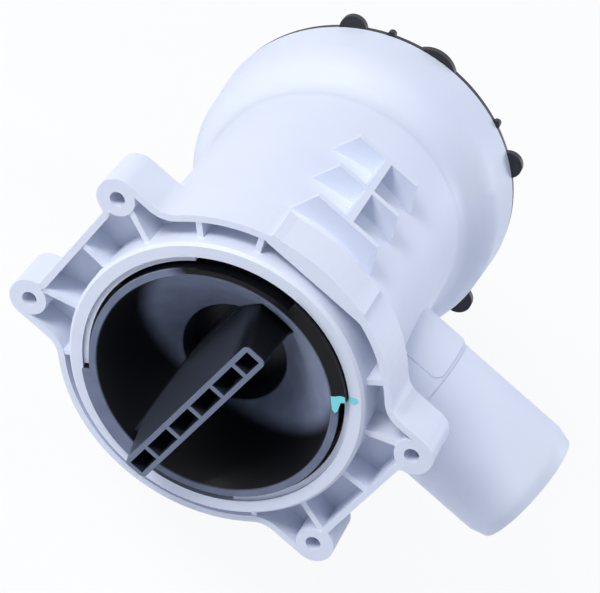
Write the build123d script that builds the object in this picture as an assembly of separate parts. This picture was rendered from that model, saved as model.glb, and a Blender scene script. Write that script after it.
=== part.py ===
from build123d import *
import math
import os

# Washer drain pump with its lint filter. Millimetres. Places along Y are counted from the front
# ring's face, and every node is moved forward at the end, so that the origin lies on the
# filter's axis in the plane of the four ears. +Y runs back along that axis to the motor, +X
# points the way the inlet pipe leaves, +Z is up with the flange's flat side on top.

# Clearances and cutting
OVERRUN = 2.0
RUNNING_GAP = 0.05
SEAT_GAP = 0.1
FREE_GAP = 0.3

# Front ring and its bayonet
RING_WALL = 3.9
RAMP_GAP = 1.0
RAMP_FROM = -45.5
RAMP_TO = 41.2
RAMP_FRONT = 0.9
RAMP_DEPTH = 3.1
LUG_BORE_END = 9.0
RING_EDGE_ROUND = 0.8

# Filter tube
BORE_STEP = 0.4
TUBE_WALL = 3.0
TUBE_END_AHEAD = 26.2
GUIDE_WIDTH = 3.0
GUIDE_HEIGHT = 2.0
GUIDE_START = 29.0

# Pump cup behind the tube
PARTITION = 3.0
PARTITION_FRONT_AHEAD = 28.2
EYE_R = 11.5
EYE_LIP = 1.6
SHOULDER_STEP = 1.0
SHOULDER_END_AHEAD = 15.2
RIM_R = 46.5
RIM_END = 116.2
CHAMBER_STEP = 3.1
CHAMBER_END_AHEAD = 9.2
RIM_WALL = 2.9
RIM_LIP = 1.0
RIM_LIP_DEPTH = 2.6
BAYONETS = 5
RIM_NOTCH_HALF_ANGLE = 12.0

# Mounting flange: a pan with a skirt, four screw ears and radial ribs
FLANGE_FRONT = 3.0
FLOOR_FRONT = 12.2
FLOOR = 2.4
SKIRT = 1.8
SKIRT_END = 17.4
UPPER_R = 46.1
LOWER_R = 44.5
EAR_X = 48.6
EAR_Z = 21.4
EAR_R = 5.6
EAR_BOSS_R = 4.7
EAR_HOLE_R = 2.05
SIDE_WALL_X = 49.1
S_CURVE_R = 7.0
EAR_NECK_R = 1.2
FLAT_HALF_WIDTH = 14.8
FLAT_Z = 44.5
FLAT_WALL = 3.0
FLAT_END = 15.4
TOOTH_WIDTH = 3.2
TOOTH_HEIGHT = 1.9
FLANGE_RIB = 1.6
FLANGE_RIB_SETBACK = 0.3
FLANGE_RIB_ANGLES = (4.0, 25.5, 47.0, 111.5, 133.0, 154.5, 176.0, 199.0, 220.0, 320.0, 341.0)

# Ladder gussets on top of the tube
LADDER_RISE = 6.0
LADDER_SPINE = 2.0
LADDER_SPINE_X = -1.2
LADDER_RIB = 1.8
LADDER_RIB_PLACES = (30.0, 46.8, 63.6)
LADDER_LEFT_TOP = -11.3
LADDER_LEFT_FOOT = -14.6
LADDER_RIGHT_TOP = 8.6
LADDER_RIGHT_FOOT = 13.0
LADDER_SINK = 3.5

# Inlet pipe
INLET_R = 18.5
INLET_BORE_R = 15.9
INLET_Y = 54.4
INLET_END = 87.6
INLET_TAPER = 4.4
INLET_TIP_R = 17.3
INLET_ROOT_R = 18.9
INLET_ROOT_END = 48.0
PAD_R = 19.3
PAD_END = 47.2
PAD_HALF_WIDTH = 11.4
PAD_CORNER = 2.5

# Discharge spigot, under the inlet pipe
OUTLET_R = 11.0
OUTLET_BORE_R = 8.6
OUTLET_Y_AHEAD = 16.7
OUTLET_SETBACK = 9.5
OUTLET_END = 78.0
OUTLET_TAPER = 4.0
OUTLET_TIP_R = 10.2
OUTLET_ROOT_R = 13.0
OUTLET_ROOT_END = 46.0

# Filter cap: dish, lugs and grip
CAP_FRONT = -1.55
CAP_R = 33.6
CAP_LIP = 1.8
CAP_WALL = 2.0
CAP_SKIRT = 4.0
CAP_END = 20.5
POCKET_R = 14.3
POCKET_FRONT = 14.9
POCKET_FLOOR = 25.5
HUB_GROOVE = 0.8
HUB_GROOVE_FRONT = 21.4
HUB_GROOVE_WIDTH = 2.4
LUG_REACH = 2.2
LUG_FRONT = 4.4
LUG_THICK = 3.0
LUG_FROM = -2.0
TAB_FROM = 41.8
TAB_TO = 89.5
GRIP_FRONT = -12.7
GRIP_WIDTH = 6.6
GRIP_TOP = 25.5
GRIP_BOTTOM = -28.5
GRIP_X = 0.55
GRIP_LEAN = 1.2
GRIP_WALL = 1.3
GRIP_WEB = 1.1
GRIP_ROUND = 1.6
GRIP_LEFT_FLARE = 4.6
GRIP_RIGHT_FLARE = 1.4
GRIP_TOP_FLARE = 0.6
GRIP_ROOT = 15.9
GRIP_CELLS = (5.4, 8.5, 8.5, 8.5, 8.5, 6.8)
GRIP_CELL_FLOOR = 1.6

# Cap seal
CAP_SEAL_SECTION = 1.35
SEAL_SIDES = 8
CAP_SEAL_Y = 15.6
CAP_GROOVE_DEPTH = 2.1
CAP_GROOVE_WIDTH = 3.6

# Strainer basket
BASKET_GAP = 0.8
BASKET_BAR = 3.0
BASKET_BAR_WIDTH = 3.4
BASKET_BARS = 12
BASKET_WINDOW_HALF_ANGLE = 40.0
BASKET_FRONT = 22.6
BASKET_FRONT_RING = 3.2
BASKET_END_AHEAD = 36.2
BASKET_END_PLATE = 2.4
BASKET_HOOP = 2.4
BASKET_HOOP_PLACES = (50.0,)
BASKET_SPOKES = 6
BASKET_SPOKE_WIDTH = 5.0
BASKET_HOLE_R = 3.2
BASKET_HOLE_RINGS = (10.5, 22.0)
BASKET_HOLE_COUNTS = (6, 12)
HUB_COLLAR_WALL = 2.4
HUB_COLLAR_FRONT = 19.0
HUB_BEAD_WIDTH = 1.6
KEYWAY_GAP = 0.6

# Motor flange with the rotor can
DISC_SETBACK = 0.2
DISC = 2.0
LOBE_R = 4.0
LOBE_SETBACK = 0.5
LOBE_ANGLES = (130.0, 51.0)
BIG_LOBE_R = 8.0
BIG_LOBE_SETBACK = 5.9
BIG_LOBE_ANGLE = 97.5
LATCH_R = 4.5
LATCH_REACH = 1.5
LATCH_ANGLE = -12.0
BAYONET_FIRST_ANGLE = 54.0
NUB_R = 1.2
NUB_HEIGHT = 1.5
NUB_ANGLES = (67.0, 116.0)
SPIGOT_GAP = 1.3
SPIGOT_WALL = 2.4
SPIGOT_FRONT_AHEAD = 6.2
BACK_WALL = 2.4
SPIGOT_LUG_HALF_ANGLE = 9.0
SPIGOT_LUG_START_AHEAD = 5.8
SPIGOT_LUG_END_AHEAD = 2.9
CAN_BORE_R = 12.6
CAN_WALL = 1.2
CAN_END_BEHIND = 44.3
CAN_ROUND = 2.0
POST_R = 4.0
POST_X = 20.0
POST_Z = 0.0
FLANGE_WEBS = 10
FLANGE_WEB = 1.6
SEAL_SECTION = 1.4
SEAL_SETBACK = 1.55

# Bearing carrier, bearings and shaft seal
CARRIER_FLANGE_R = 19.0
CARRIER_FLANGE = 1.6
CARRIER_END_BEHIND = 4.8
BEARING_R = 5.0
BEARING_LENGTH = 6.0
MOUNT_R = 8.0
FRONT_BEARING_START_AHEAD = 1.8
REAR_BEARING_START_BEHIND = 35.8
SHAFT_SEAL_R = 6.5
SHAFT_SEAL_START_AHEAD = 5.6
SHAFT_SEAL_LENGTH = 3.0
SHAFT_SEAL_LIP = 0.9

# Rotor
SHAFT_R = 2.0
SHAFT_START_AHEAD = 22.8
SHAFT_END_BEHIND = 41.6
MAGNET_R = 11.8
MAGNET_START_BEHIND = 6.8
MAGNET_LENGTH = 26.0
WASHER_R = 4.6
WASHER = 0.6
CLIP_R = 4.2
CLIP = 0.8
CLIP_START_AHEAD = 22.4

# Impeller and its driver
IMPELLER_R = 25.0
IMPELLER_FRONT_AHEAD = 21.0
IMPELLER_END_AHEAD = 9.6
IMPELLER_PLATE = 1.6
IMPELLER_HUB_R = 7.8
IMPELLER_HUB_WALL = 2.0
BLADES = 4
BLADE = 1.8
BLADE_BOW_R = 22.0
BLADE_TIP_DROP = 2.2
DOG_R = 3.6
DOG_TIP_R = 5.4
DOG_SPAN = 60.0
DOG_START_AHEAD = 17.6
DOG_LENGTH = 5.0
STOP_R = 4.0
DOG_REST_ANGLE = 5.0

# Stator
CORE_START_BEHIND = 12.8
CORE_LENGTH = 20.0
CORE_HALF_WIDTH = 25.0
CORE_TOP = 18.5
CORE_TOP_HALF_WIDTH = 14.0
CORE_SHOULDER_Z = 8.0
CORE_BOTTOM = -74.0
CORE_YOKE = 12.0
CORE_LIMB = 13.0
CORE_WINDOW_TOP = -17.0
CORE_GAP = 3.0
CORE_BORE_R = 14.2
RIVET_R = 1.6
RIVET_HEAD_R = 2.8
RIVET_HEAD = 1.0
RIVET_Z = (-15.0, -68.5)
RIVET_X = 19.5
CORE_SCREW_R = 1.9
CORE_SCREW_HEAD_R = 3.6
CORE_SCREW_HEAD = 2.4
CORE_SCREW_BITE = 7.0
CORE_SCREW_SOCKET_R = 1.5
CORE_SCREW_SOCKET = 1.2

# Coils and their cover
COIL_TOP = -21.0
COIL_BOTTOM = -59.0
BOBBIN_WALL = 1.0
BOBBIN_FLANGE = 1.2
WINDING = 4.4
COVER_WALL = 1.4
COVER_ROUND = 3.0
TERMINAL_WIDTH = 6.3
TERMINAL = 0.8
TERMINAL_LENGTH = 9.0
TERMINAL_ROOT = 4.0
TERMINAL_X = 8.0
TERMINAL_Z = -34.0
TERMINAL_SHROUD = 1.6
TERMINAL_SHROUD_DEPTH = 7.0
TERMINAL_HOLE_R = 0.8


# Worked-out sizes. Places behind the filter are set from the cup's rim.

lug_r = CAP_R + LUG_REACH
ramp_r = CAP_R + RAMP_GAP
ring_bore_r = lug_r + FREE_GAP
ring_r = ring_bore_r + RING_WALL
tube_bore_r = ramp_r + BORE_STEP
tube_r = tube_bore_r + TUBE_WALL
basket_r = tube_bore_r - BASKET_GAP
spigot_bore_r = RIM_R - RIM_WALL
shoulder_r = RIM_R - SHOULDER_STEP
chamber_r = spigot_bore_r - CHAMBER_STEP
rim_lip_r = spigot_bore_r - RIM_LIP
spigot_r = spigot_bore_r - SPIGOT_GAP
spigot_lug_r = spigot_bore_r - FREE_GAP
seal_r = spigot_bore_r - SEAL_SETBACK
disc_r = RIM_R - DISC_SETBACK
lobe_centre_r = RIM_R - LOBE_SETBACK
big_lobe_centre_r = RIM_R - BIG_LOBE_SETBACK
latch_centre_r = RIM_R + LATCH_REACH
outlet_z = OUTLET_SETBACK - chamber_r
ladder_foot = tube_r - LADDER_SINK
ladder_top = tube_r + LADDER_RISE
shoulder_end = RIM_END - SHOULDER_END_AHEAD
partition_front = RIM_END - PARTITION_FRONT_AHEAD
tube_end = RIM_END - TUBE_END_AHEAD
outlet_y = RIM_END - OUTLET_Y_AHEAD
chamber_end = RIM_END - CHAMBER_END_AHEAD
spigot_front = RIM_END - SPIGOT_FRONT_AHEAD
spigot_lug_start = RIM_END - SPIGOT_LUG_START_AHEAD
spigot_lug_end = RIM_END - SPIGOT_LUG_END_AHEAD
shaft_seal_start = RIM_END - SHAFT_SEAL_START_AHEAD
front_bearing_start = RIM_END - FRONT_BEARING_START_AHEAD
shaft_start = RIM_END - SHAFT_START_AHEAD
clip_start = RIM_END - CLIP_START_AHEAD
impeller_front = RIM_END - IMPELLER_FRONT_AHEAD
impeller_end = RIM_END - IMPELLER_END_AHEAD
dog_start = RIM_END - DOG_START_AHEAD
basket_end = RIM_END - BASKET_END_AHEAD
can_end = RIM_END + CAN_END_BEHIND
carrier_end = RIM_END + CARRIER_END_BEHIND
rear_bearing_start = RIM_END + REAR_BEARING_START_BEHIND
shaft_end = RIM_END + SHAFT_END_BEHIND
magnet_start = RIM_END + MAGNET_START_BEHIND
core_start = RIM_END + CORE_START_BEHIND
hub_r = POCKET_R + CAP_WALL
hub_end = POCKET_FLOOR + CAP_WALL
collar_bore_r = hub_r + FREE_GAP
cap_inner_r = CAP_R - CAP_SKIRT
limb_x = CORE_HALF_WIDTH - CORE_LIMB / 2
core_end = core_start + CORE_LENGTH
magnet_end = magnet_start + MAGNET_LENGTH
disc_end = RIM_END + DISC
rear_bearing_end = rear_bearing_start + BEARING_LENGTH
coil_half_depth = CORE_LENGTH / 2 + SEAT_GAP + BOBBIN_WALL + WINDING
coil_half_width = CORE_LIMB / 2 + SEAT_GAP + BOBBIN_WALL + WINDING
core_mid = core_start + CORE_LENGTH / 2
cover_half_depth = coil_half_depth + FREE_GAP + COVER_WALL
cover_half_width = limb_x + coil_half_width + FREE_GAP + COVER_WALL
cover_top = COIL_TOP + FREE_GAP + COVER_WALL
cover_bottom = COIL_BOTTOM - FREE_GAP - COVER_WALL


# Shape helpers

def round_slab(outline, start, end):
    """Extrudes an outline drawn in X and Z along the filter's axis, from start to end."""
    return extrude(Plane.XZ.offset(-start) * outline, amount=start - end)


def side_slab(outline, start, end):
    """Extrudes an outline drawn in Y and Z along X, from start to end."""
    return extrude(Plane.YZ.offset(start) * outline, amount=end - start)


def turned(*points):
    """Turns a profile of (radius, place along the filter's axis) points about that axis."""
    return revolve(make_face(Polyline(*points, close=True)), Axis.Y)


def tube_piece(outer, inner, start, end):
    """A plain tube round the filter's axis."""
    return round_slab(Circle(outer) - Circle(inner), start, end)


def polar(radius, angle):
    """A point in X and Z at an angle from +X."""
    return (radius * math.cos(math.radians(angle)), radius * math.sin(math.radians(angle)))


def wedge(middle, half_angle, reach):
    """A sector outline in X and Z about the axis, wide enough to pass the given reach."""
    edge = reach / math.cos(math.radians(half_angle / 2))
    return make_face(Polyline(
        (0, 0), polar(edge, middle - half_angle), polar(edge, middle - half_angle / 2), polar(edge, middle),
        polar(edge, middle + half_angle / 2), polar(edge, middle + half_angle), close=True))


def sector_ring(outer, inner, first, last, start, end):
    """Part of a tube between two angles."""
    middle = (first + last) / 2
    sector = wedge(middle, (last - first) / 2, outer + OVERRUN)
    return round_slab((Circle(outer) - Circle(inner)) & sector, start, end)


def write(name, shape):
    """Moves one node so that the ears' plane lies at Y zero, and writes its solids."""
    solids = (Pos(0, -FLANGE_FRONT, 0) * shape).solids()
    export_step(solids[0] if len(solids) == 1 else Compound(children=list(solids)), "parts/" + name + ".step")


# Pump housing

def flange_outline():
    """Outer edge of the pan: two arcs about the axis, four ears and straight sides."""
    upper_half = Pos(0, UPPER_R) * Rectangle(2 * SIDE_WALL_X, 2 * UPPER_R)
    outline = (Circle(UPPER_R) & upper_half) + Circle(LOWER_R)
    for side in (1, -1):
        outline += Pos(0, side * EAR_Z) * SlotCenterToCenter(2 * EAR_X, 2 * EAR_R)
    outline += Rectangle(2 * SIDE_WALL_X, 2 * EAR_Z)
    return outline


def softened(outline):
    """Rounds the corners where the arcs run into the ears and the ears into the side walls."""
    s_corners = []
    necks = []
    for corner in outline.vertices():
        x, z = abs(corner.X), abs(corner.Y)
        if z > EAR_Z + EAR_R - FREE_GAP and x < EAR_X - EAR_R:
            s_corners.append(corner)
        elif x > SIDE_WALL_X - FREE_GAP and z < EAR_Z:
            necks.append(corner)
    outline = fillet(s_corners, S_CURVE_R)
    necks = [c for c in outline.vertices() if abs(c.X) > SIDE_WALL_X - FREE_GAP and abs(c.Y) < EAR_Z]
    return fillet(necks, EAR_NECK_R)


def flange_pan():
    """Skirt, floor, ears, ribs and the flat top of the mounting flange."""
    outline = softened(flange_outline())
    pocket = offset(outline, -SKIRT) - Circle(ring_r)
    for x in (EAR_X, -EAR_X):
        for z in (EAR_Z, -EAR_Z):
            pocket -= Pos(x, z) * Circle(EAR_BOSS_R)
    flat_inner = FLAT_Z - FLAT_WALL
    flat_middle = (FLAT_Z + flat_inner) / 2
    flat = Pos(0, flat_middle) * Rectangle(2 * FLAT_HALF_WIDTH, FLAT_WALL)
    tooth = Pos(FLAT_HALF_WIDTH + TOOTH_WIDTH / 2, flat_inner - TOOTH_HEIGHT / 2 + SKIRT) * Rectangle(
        TOOTH_WIDTH, TOOTH_HEIGHT)
    pocket -= flat + tooth
    pan = round_slab(outline, FLANGE_FRONT, SKIRT_END)
    pan += round_slab(flat, FLANGE_FRONT, FLAT_END)
    pan -= round_slab(pocket, FLANGE_FRONT - OVERRUN, FLOOR_FRONT)
    back = offset(outline, -SKIRT)
    pan -= round_slab(back, FLOOR_FRONT + FLOOR, SKIRT_END + OVERRUN)
    rib_area = round_slab(pocket, FLANGE_FRONT + FLANGE_RIB_SETBACK, FLOOR_FRONT + SEAT_GAP)
    ribs = []
    for angle in FLANGE_RIB_ANGLES:
        blade = Rectangle(UPPER_R, FLANGE_RIB)
        blade = Rot(0, 0, angle) * Pos(UPPER_R, 0) * blade
        ribs.append(round_slab(blade, FLANGE_FRONT + FLANGE_RIB_SETBACK, FLOOR_FRONT + SEAT_GAP) & rib_area)
    for rib in ribs:
        pan += rib
    behind_flat = Pos(0, FLAT_Z) * Rectangle(2 * FLAT_HALF_WIDTH, 2 * (FLAT_Z - tube_r))
    pan -= round_slab(behind_flat, FLAT_END, SKIRT_END + OVERRUN)
    return pan


def ear_holes():
    """Four screw holes through the ears, right through the skirt's depth."""
    holes = []
    for x in (EAR_X, -EAR_X):
        for z in (EAR_Z, -EAR_Z):
            holes.append(round_slab(Pos(x, z) * Circle(EAR_HOLE_R), FLANGE_FRONT - OVERRUN, SKIRT_END + OVERRUN))
    return holes


def ear_bosses():
    """Round bosses that carry the screws behind the floor."""
    bosses = []
    for x in (EAR_X, -EAR_X):
        for z in (EAR_Z, -EAR_Z):
            bosses.append(round_slab(Pos(x, z) * Circle(EAR_BOSS_R), FLANGE_FRONT, SKIRT_END))
    return bosses


def ladder():
    """Spine and cross ribs that brace the tube to the flange."""
    parts = []
    outline = make_face(Polyline(
        (LADDER_LEFT_FOOT, ladder_foot), (LADDER_LEFT_TOP, ladder_top),
        (LADDER_RIGHT_TOP, ladder_top), (LADDER_RIGHT_FOOT, ladder_foot), close=True))
    for place in LADDER_RIB_PLACES:
        parts.append(round_slab(outline, place - LADDER_RIB / 2, place + LADDER_RIB / 2))
    spine = Pos(LADDER_SPINE_X, (ladder_top + ladder_foot) / 2) * Rectangle(LADDER_SPINE, ladder_top - ladder_foot)
    parts.append(round_slab(spine, LADDER_RIB_PLACES[0], LADDER_RIB_PLACES[-1]))
    return parts


def inlet_pipe():
    """Inlet pipe with its tapered mouth and the raised pad on top of its root."""
    straight_end = INLET_END - INLET_TAPER
    pipe = side_slab(Pos(INLET_Y, 0) * Circle(INLET_R), 0, straight_end)
    base = Plane.YZ.offset(straight_end) * Pos(INLET_Y, 0) * Circle(INLET_R)
    tip = Plane.YZ.offset(INLET_END) * Pos(INLET_Y, 0) * Circle(INLET_TIP_R)
    pipe += loft([base.face(), tip.face()])
    pipe += side_slab(Pos(INLET_Y, 0) * Circle(INLET_ROOT_R), 0, INLET_ROOT_END)
    pad = side_slab(Pos(INLET_Y, 0) * Circle(PAD_R), 0, PAD_END + OVERRUN)
    plan = Pos(0, INLET_Y) * RectangleRounded(2 * PAD_END, 2 * PAD_HALF_WIDTH, PAD_CORNER)
    return pipe + (pad & extrude(plan, amount=2 * PAD_R))


def outlet_spigot():
    """Discharge spigot with a stepped root that stops the hose."""
    straight_end = OUTLET_END - OUTLET_TAPER
    spigot = side_slab(Pos(outlet_y, outlet_z) * Circle(OUTLET_R), 0, straight_end)
    base = Plane.YZ.offset(straight_end) * Pos(outlet_y, outlet_z) * Circle(OUTLET_R)
    tip = Plane.YZ.offset(OUTLET_END) * Pos(outlet_y, outlet_z) * Circle(OUTLET_TIP_R)
    root = side_slab(Pos(outlet_y, outlet_z) * Circle(OUTLET_ROOT_R), 0, OUTLET_ROOT_END)
    return spigot + loft([base.face(), tip.face()]) + root


def inner_space():
    """All the room inside ring, tube and cup, as one turned body."""
    front = -OVERRUN
    eye_front = partition_front
    eye_back = partition_front + PARTITION
    return turned(
        (0, front), (ring_bore_r, front), (ring_bore_r, LUG_BORE_END), (tube_bore_r, LUG_BORE_END),
        (tube_bore_r, eye_front), (EYE_R, eye_front), (EYE_R, eye_back), (tube_bore_r, eye_back),
        (chamber_r, shoulder_end - PARTITION), (chamber_r, chamber_end), (spigot_bore_r, chamber_end),
        (spigot_bore_r, RIM_END + OVERRUN), (0, RIM_END + OVERRUN))


def pump_housing():
    """The white moulding that carries everything else."""
    shell = turned(
        (0, 0), (ring_r - RING_EDGE_ROUND, 0), (ring_r, RING_EDGE_ROUND), (ring_r, FLOOR_FRONT),
        (tube_r, FLOOR_FRONT), (tube_r, tube_end), (shoulder_r, shoulder_end), (RIM_R, RIM_END), (0, RIM_END))
    body = shell + flange_pan()
    for boss in ear_bosses():
        body += boss
    for gusset in ladder():
        body += gusset
    body += inlet_pipe()
    body += outlet_spigot()
    body -= inner_space()
    bore = side_slab(Pos(INLET_Y, 0) * Circle(INLET_BORE_R), 0, INLET_END + OVERRUN)
    body -= bore
    outlet_bore = side_slab(Pos(outlet_y, outlet_z) * Circle(OUTLET_BORE_R), 0, OUTLET_END + OVERRUN)
    body -= outlet_bore
    for hole in ear_holes():
        body -= hole
    for turn in (0, 180):
        body += sector_ring(
            ring_bore_r + SEAT_GAP, ramp_r, RAMP_FROM + turn, RAMP_TO + turn, RAMP_FRONT, RAMP_FRONT + RAMP_DEPTH)
    lip = Circle(spigot_bore_r + SEAT_GAP) - Circle(rim_lip_r)
    for step in range(BAYONETS):
        middle = BAYONET_FIRST_ANGLE + 180 / BAYONETS + step * 360 / BAYONETS
        lip -= wedge(middle, RIM_NOTCH_HALF_ANGLE, RIM_R) & Circle(spigot_bore_r)
    body += round_slab(lip, RIM_END - RIM_LIP_DEPTH, RIM_END)
    guide = Pos(0, -tube_bore_r + GUIDE_HEIGHT / 2 - SEAT_GAP) * Rectangle(GUIDE_WIDTH, GUIDE_HEIGHT + 2 * SEAT_GAP)
    body += round_slab(guide, GUIDE_START, partition_front + SEAT_GAP)
    eye = Circle(EYE_R + EYE_LIP) - Circle(EYE_R)
    body += round_slab(eye, partition_front, partition_front + PARTITION + EYE_LIP)
    return body


# Filter cap, its seal and the strainer basket

def dish_slope():
    """Drop along the axis for each millimetre in towards the centre."""
    return (POCKET_FRONT - CAP_FRONT) / (CAP_R - CAP_LIP - POCKET_R)


def dish_solid(lift):
    """Room in front of the dish, as far as its slope moved forward by lift."""
    mouth_r = CAP_R - CAP_LIP
    front = GRIP_FRONT - OVERRUN
    return turned(
        (0, front), (mouth_r, front), (mouth_r, CAP_FRONT - lift), (POCKET_R, POCKET_FRONT - lift),
        (0, GRIP_ROOT - lift))


def grip_fin():
    """Tapered hollow grip across the dish."""
    length = GRIP_TOP - GRIP_BOTTOM
    middle = (GRIP_TOP + GRIP_BOTTOM) / 2
    nose = Pos(GRIP_X, middle) * RectangleRounded(GRIP_WIDTH, length, GRIP_ROUND)
    width = GRIP_WIDTH + GRIP_LEFT_FLARE + GRIP_RIGHT_FLARE
    shift = (GRIP_RIGHT_FLARE - GRIP_LEFT_FLARE) / 2
    root = Pos(GRIP_X + shift, middle + GRIP_TOP_FLARE / 2) * RectangleRounded(
        width, length + GRIP_TOP_FLARE, GRIP_ROUND)
    fin = loft([(Plane.XZ.offset(-GRIP_FRONT) * nose).face(), (Plane.XZ.offset(-GRIP_ROOT) * root).face()])
    cells = []
    top = GRIP_TOP - GRIP_WALL
    for size in GRIP_CELLS:
        cell = Pos(GRIP_X, top - size / 2) * Rectangle(GRIP_WIDTH - 2 * GRIP_WALL, size)
        cells.append(round_slab(cell, GRIP_FRONT - OVERRUN, GRIP_ROOT))
        top -= size + GRIP_WEB
    fin = fin & dish_solid(0)
    foot = root & Circle(POCKET_R + SEAT_GAP)
    fin += round_slab(foot, GRIP_ROOT - SEAT_GAP, POCKET_FLOOR + SEAT_GAP)
    room = dish_solid(GRIP_CELL_FLOOR)
    for cell in cells:
        fin -= cell & room
    return Rot(0, GRIP_LEAN, 0) * fin


def filter_cap():
    """Dish, skirt with the seal's groove, hub, lugs and grip in one black moulding."""
    mouth_r = CAP_R - CAP_LIP
    slope = dish_slope()
    drop = CAP_WALL * math.sqrt(1 + slope * slope)
    back_at_skirt = CAP_FRONT + (mouth_r - cap_inner_r) * slope + drop
    back_at_hub = CAP_FRONT + (mouth_r - hub_r) * slope + drop
    groove_front = CAP_SEAL_Y - CAP_GROOVE_WIDTH / 2
    groove_end = CAP_SEAL_Y + CAP_GROOVE_WIDTH / 2
    groove_r = CAP_R - CAP_GROOVE_DEPTH
    bead_r = hub_r - HUB_GROOVE
    bead_end = HUB_GROOVE_FRONT + HUB_GROOVE_WIDTH
    cap = turned(
        (mouth_r, CAP_FRONT), (CAP_R, CAP_FRONT), (CAP_R, groove_front), (groove_r, groove_front),
        (groove_r, groove_end), (CAP_R, groove_end), (CAP_R, CAP_END), (cap_inner_r, CAP_END),
        (cap_inner_r, back_at_skirt), (hub_r, back_at_hub), (hub_r, HUB_GROOVE_FRONT),
        (bead_r, HUB_GROOVE_FRONT), (bead_r, bead_end), (hub_r, bead_end), (hub_r, hub_end),
        (0, hub_end), (0, POCKET_FLOOR), (POCKET_R, POCKET_FLOOR), (POCKET_R, POCKET_FRONT))
    for turn in (0, 180):
        cap += sector_ring(
            lug_r, CAP_R - SEAT_GAP, LUG_FROM + turn, TAB_FROM + turn, LUG_FRONT, LUG_FRONT + LUG_THICK)
        cap += sector_ring(
            lug_r, CAP_R - SEAT_GAP, TAB_FROM + turn, TAB_TO + turn, CAP_FRONT, LUG_FRONT + LUG_THICK)
    cap += grip_fin()
    return cap


def cap_seal():
    """Ring seal in the cap's groove."""
    groove_r = CAP_R - CAP_GROOVE_DEPTH
    centre = groove_r + RUNNING_GAP + CAP_SEAL_SECTION
    return revolve(Pos(centre, CAP_SEAL_Y) * RegularPolygon(CAP_SEAL_SECTION, SEAL_SIDES), Axis.Y)


def strainer_basket():
    """Cage of bars between a front ring and a drilled end plate, open to the inlet pipe."""
    inner_r = basket_r - BASKET_BAR
    front_end = BASKET_FRONT + BASKET_FRONT_RING
    collar_r = collar_bore_r + HUB_COLLAR_WALL
    plate_start = basket_end - BASKET_END_PLATE
    basket = tube_piece(basket_r, inner_r, BASKET_FRONT, basket_end)
    plate = Circle(basket_r - SEAT_GAP)
    for radius, count in zip(BASKET_HOLE_RINGS, BASKET_HOLE_COUNTS):
        for step in range(count):
            plate -= Pos(*polar(radius, step * 360 / count)) * Circle(BASKET_HOLE_R)
    basket += round_slab(plate, plate_start, basket_end)
    bead_r = collar_bore_r - HUB_GROOVE
    bead_mid = HUB_GROOVE_FRONT + HUB_GROOVE_WIDTH / 2
    bead_start = bead_mid - HUB_BEAD_WIDTH / 2
    bead_end = bead_mid + HUB_BEAD_WIDTH / 2
    basket += turned(
        (collar_r, HUB_COLLAR_FRONT), (collar_r, front_end), (collar_bore_r, front_end), (collar_bore_r, bead_end),
        (bead_r, bead_end), (bead_r, bead_start), (collar_bore_r, bead_start), (collar_bore_r, HUB_COLLAR_FRONT))
    spoke_area = Circle(inner_r + SEAT_GAP) - Circle(collar_r - SEAT_GAP)
    for step in range(BASKET_SPOKES):
        spoke = Rot(0, 0, (step + 1 / 2) * 360 / BASKET_SPOKES) * Pos(basket_r / 2, 0) * Rectangle(
            basket_r, BASKET_SPOKE_WIDTH)
        basket += round_slab(spoke & spoke_area, BASKET_FRONT + SEAT_GAP, front_end - SEAT_GAP)
    bar_half_angle = math.degrees(math.asin(BASKET_BAR_WIDTH / 2 / basket_r))
    gap = Circle(basket_r + OVERRUN) - Circle(inner_r - FREE_GAP)
    gap &= wedge(0, 180 / BASKET_BARS - bar_half_angle, basket_r + 2 * OVERRUN)
    hoops = [place + BASKET_HOOP for place in BASKET_HOOP_PLACES]
    starts = [front_end] + hoops
    ends = list(BASKET_HOOP_PLACES) + [plate_start - BASKET_HOOP]
    for step in range(BASKET_BARS):
        for start, end in zip(starts, ends):
            basket -= round_slab(Rot(0, 0, step * 360 / BASKET_BARS) * gap, start, end)
    window = Circle(basket_r + OVERRUN) - Circle(inner_r - FREE_GAP)
    window &= wedge(0, BASKET_WINDOW_HALF_ANGLE, basket_r + 2 * OVERRUN)
    basket -= round_slab(window, front_end, ends[-1])
    keyway_width = GUIDE_WIDTH + 2 * KEYWAY_GAP
    keyway_top = -tube_bore_r + GUIDE_HEIGHT + KEYWAY_GAP
    keyway = Pos(0, keyway_top - tube_bore_r / 2) * Rectangle(keyway_width, tube_bore_r)
    return basket - round_slab(keyway, BASKET_FRONT - OVERRUN, basket_end + OVERRUN)


# Motor flange and what it holds

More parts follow.
